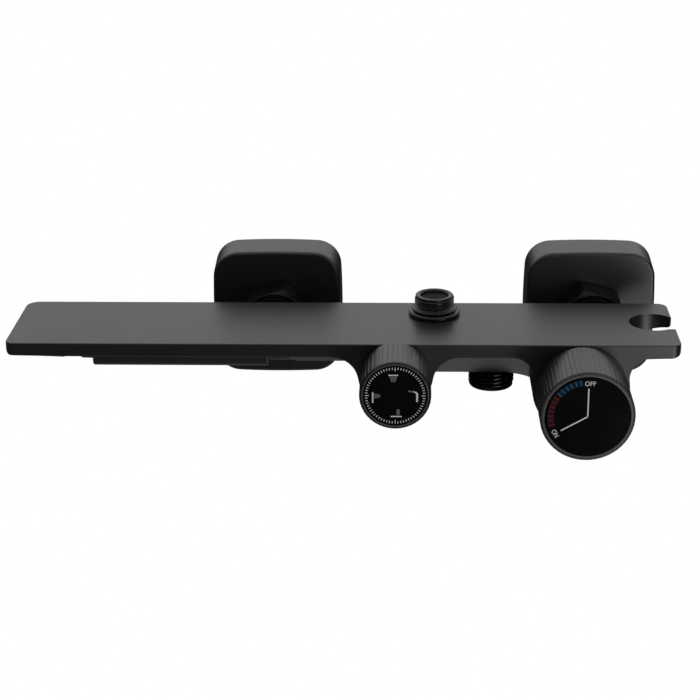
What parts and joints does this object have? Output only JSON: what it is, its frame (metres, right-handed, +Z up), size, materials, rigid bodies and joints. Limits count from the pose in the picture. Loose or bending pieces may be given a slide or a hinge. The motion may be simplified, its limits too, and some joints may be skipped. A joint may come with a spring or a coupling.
{
  "type": "wall mounted bath faucet",
  "caption": "Exposed bath mixer shaped as a shelf, with waterfall spout, mixing knob, diverter knob, riser outlet, hose outlet and hand shower holder.",
  "frame": {"origin": "on the finished wall, midway between the two wall threads", "axes": "+X to the right seen from the room, +Y into the wall, +Z up"},
  "size_m": [0.2975, 0.1451, 0.0618],
  "materials": {
    "black_paint": "matt",
    "brass": "machined",
    "steel": "satin",
    "rubber": "matt",
    "white_plastic": "moulded",
    "ceramic": "lapped ceramic",
    "black_plastic": "satin",
    "black_glass": "black back-printed glass, opaque"
  },
  "bodies": {
    "mixer": {"mixer_body": "black_paint", "left_inlet_nipple": "black_paint", "left_wall_union": "brass", "left_cover_plate": "black_paint", "right_inlet_nipple": "black_paint", "right_wall_union": "brass", "right_cover_plate": "black_paint", "inlet_washers": "rubber", "inlet_check_valves": "white_plastic", "mixing_base_seal": "rubber", "mixing_cartridge_base": "white_plastic", "mixing_cartridge_housing": "white_plastic", "mixing_fixed_disc": "ceramic", "mixing_retaining_nut": "brass", "diverter_base_seal": "rubber", "diverter_cartridge_base": "white_plastic", "diverter_cartridge_housing": "white_plastic", "diverter_fixed_disc": "ceramic", "diverter_retaining_nut": "brass", "riser_nipple": "black_paint", "riser_seal": "rubber", "hose_nipple": "black_paint", "hose_check_valve": "white_plastic", "spout_frame": "black_plastic", "spout_screws": "steel", "spout_gasket": "rubber", "flow_straightener": "black_plastic"},
    "left_nut": {"left_union_nut": "black_paint"},
    "right_nut": {"right_union_nut": "black_paint"},
    "mixing_knob": {"mixing_moving_disc": "ceramic", "mixing_spindle": "brass", "mixing_knob": "black_paint", "mixing_knob_bezel": "black_paint", "mixing_knob_glass": "black_glass", "mixing_knob_grub_screw": "steel"},
    "diverter_knob": {"diverter_moving_disc": "ceramic", "diverter_spindle": "brass", "diverter_knob": "black_paint", "diverter_knob_bezel": "black_paint", "diverter_knob_glass": "black_glass", "diverter_knob_grub_screw": "steel"}
  },
  "joints": [
    {"name": "mixing_knob_turn", "type": "hinge", "parent": "mixer", "child": "mixing_knob", "pos_m": [0.0643, -0.11, -0.0136], "axis": [0, 1, 0], "range_deg": [0, 120]},
    {"name": "diverter_knob_turn", "type": "hinge", "parent": "mixer", "child": "diverter_knob", "pos_m": [-0.0174, -0.108, -0.00715], "axis": [0, 1, 0], "continuous": true},
    {"name": "left_union_nut_turn", "type": "hinge", "parent": "mixer", "child": "left_nut", "pos_m": [-0.075, -0.028, -0.006], "axis": [0, 1, 0], "continuous": true},
    {"name": "right_union_nut_turn", "type": "hinge", "parent": "mixer", "child": "right_nut", "pos_m": [0.075, -0.028, -0.006], "axis": [0, 1, 0], "continuous": true}
  ]
}
